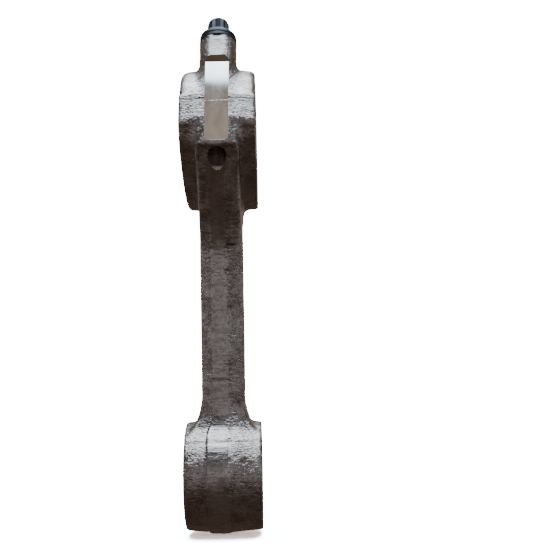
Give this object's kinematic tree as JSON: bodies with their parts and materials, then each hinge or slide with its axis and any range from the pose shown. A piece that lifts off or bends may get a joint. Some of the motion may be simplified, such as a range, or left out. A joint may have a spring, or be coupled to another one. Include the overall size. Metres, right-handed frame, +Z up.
{
  "type": "connecting rod",
  "caption": "Forged engine connecting rod with a tilted-split big end, a bolted bearing cap, half shells and a bushed small end.",
  "frame": {"origin": "centre of the big-end bore, midway between the side faces", "axes": "+X along the crankpin and the piston pin, +Z up the rod from the small end to the big end, -Y towards the side with the higher cap bolt"},
  "size_m": [0.048, 0.1248, 0.3383],
  "materials": {
    "forged_steel": "as forged and peened, dark brown-grey with a satin sheen, machined bright at the joint, strips, side faces and bores",
    "black_bolt": "black oxide, oiled, semi-gloss",
    "bronze_bush": "bored bronze, satin",
    "bearing_metal": "fine-bored bearing metal on a steel back, satin",
    "sleeve_steel": "ground steel"
  },
  "bodies": {
    "rod": {"rod_body": "forged_steel", "bearing_shell_rod": "bearing_metal", "small_end_bush": "bronze_bush", "locating_sleeve_upper": "sleeve_steel", "locating_sleeve_lower": "sleeve_steel"},
    "cap": {"bearing_cap": "forged_steel", "bearing_shell_cap": "bearing_metal"},
    "washer_upper": {"bolt_washer_upper": "black_bolt"},
    "washer_lower": {"bolt_washer_lower": "black_bolt"},
    "bolt_upper": {"cap_bolt_upper": "black_bolt"},
    "bolt_lower": {"cap_bolt_lower": "black_bolt"}
  },
  "joints": [
    {"name": "cap_lift", "type": "slide", "parent": "rod", "child": "cap", "axis": [0, 0.342, 0.9397], "range_m": [0, 0.06]},
    {"name": "bolt_upper_rise", "type": "slide", "parent": "cap", "child": "washer_upper", "axis": [0, 0.342, 0.9397], "range_m": [0, 0.02625]},
    {"name": "bolt_upper_turn", "type": "hinge", "parent": "washer_upper", "child": "bolt_upper", "pos_m": [0, -0.02055, 0.05962], "axis": [0, 0.342, 0.9397], "range_deg": [0, 7561]},
    {"name": "bolt_lower_rise", "type": "slide", "parent": "cap", "child": "washer_lower", "axis": [0, 0.342, 0.9397], "range_m": [0, 0.02625]},
    {"name": "bolt_lower_turn", "type": "hinge", "parent": "washer_lower", "child": "bolt_lower", "pos_m": [0, 0.05406, 0.03247], "axis": [0, 0.342, 0.9397], "range_deg": [0, 7561]}
  ],
  "couplings": [
    {"joint": "bolt_upper_turn", "follows": "bolt_upper_rise", "rad_per_m": 5026.5},
    {"joint": "bolt_lower_turn", "follows": "bolt_lower_rise", "rad_per_m": 5026.5}
  ]
}
